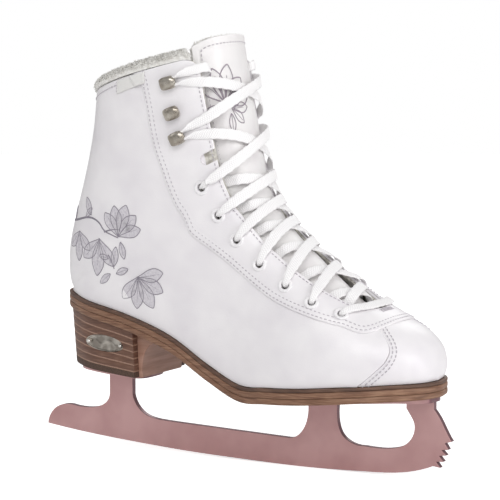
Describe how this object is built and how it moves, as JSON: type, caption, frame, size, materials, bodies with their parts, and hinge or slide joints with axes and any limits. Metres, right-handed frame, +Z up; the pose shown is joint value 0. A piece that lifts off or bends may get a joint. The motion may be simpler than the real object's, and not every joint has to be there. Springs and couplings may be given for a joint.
{
  "type": "figure skate",
  "caption": "White lace-up figure skate boot with stacked heel, lace hooks, hinged padded tongue and a figure blade with toe picks.",
  "frame": {"origin": "under the middle of the skate, in the plane of the blade, at the height of the lowest point of the running edge", "axes": "+X towards the toe, +Y towards the inner (medial) side, +Z up"},
  "size_m": [0.2874, 0.0951, 0.2645],
  "materials": {
    "boot_leather": "semi-gloss coated leather, white",
    "fleece": "brushed fleece, off-white",
    "tongue_cloth": "matt coated leather, white",
    "foam": "open-cell foam",
    "stiffener": "pressed fibre board",
    "footbed_cloth": "cloth-covered foam",
    "label_cloth": "woven tape, white",
    "eyelet_enamel": "white enamel on brass",
    "hook_nickel": "nickel plate, slightly worn",
    "steel": "bright zinc plate",
    "sole_leather": "edge-dressed sole leather, dark brown",
    "midsole_leather": "edge-dressed sole leather, mid brown",
    "heel_leather": "stacked leather, mid brown",
    "heel_rubber": "matt",
    "blade_metal": "rose metallic lacquer over steel",
    "plate_metal": "dark rose metallic lacquer over steel",
    "lace_cotton": "flat woven lace, white",
    "lace_tip_film": "clear film over the lace"
  },
  "bodies": {
    "boot": {"vamp": "boot_leather", "quarter_outer": "boot_leather", "quarter_inner": "boot_leather", "eyestay": "boot_leather", "vamp_lining": "fleece", "lining_outer": "fleece", "lining_inner": "fleece", "collar_cuff": "fleece", "ankle_foam": "foam", "toe_puff": "stiffener", "heel_counter": "stiffener", "insole_board": "stiffener", "bottom_filler": "stiffener", "footbed": "footbed_cloth", "collar_label": "label_cloth", "eyelets_outer": "eyelet_enamel", "eyelets_inner": "eyelet_enamel", "hooks_outer": "hook_nickel", "hooks_inner": "hook_nickel", "hook_rivets_outer": "hook_nickel", "hook_rivets_inner": "hook_nickel", "heel_badge": "hook_nickel", "badge_pins": "hook_nickel", "shank": "steel", "heel_screws": "steel", "sole_screws": "steel", "welt": "sole_leather", "outsole": "sole_leather", "midsole": "midsole_leather", "heel_lifts": "heel_leather", "heel_breast": "heel_leather", "heel_top_piece": "heel_rubber", "blade": "blade_metal", "heel_plate": "plate_metal", "sole_plate": "plate_metal", "lace_toe_bar": "lace_cotton", "lace_rows_over": "lace_cotton", "lace_rows_under": "lace_cotton", "lace_hook_runs": "lace_cotton", "lace_tails": "lace_cotton", "lace_tips": "lace_tip_film"},
    "tongue": {"tongue_facing": "tongue_cloth", "tongue_foam": "foam", "tongue_lining": "fleece"}
  },
  "joints": [
    {"name": "tongue_hinge", "type": "hinge", "parent": "boot", "child": "tongue", "pos_m": [0.10157, 0, 0.0941], "axis": [0, -1, 0], "range_deg": [0, 8], "stiffness_Nm_per_rad": 2, "springref_deg": -1.15}
  ]
}
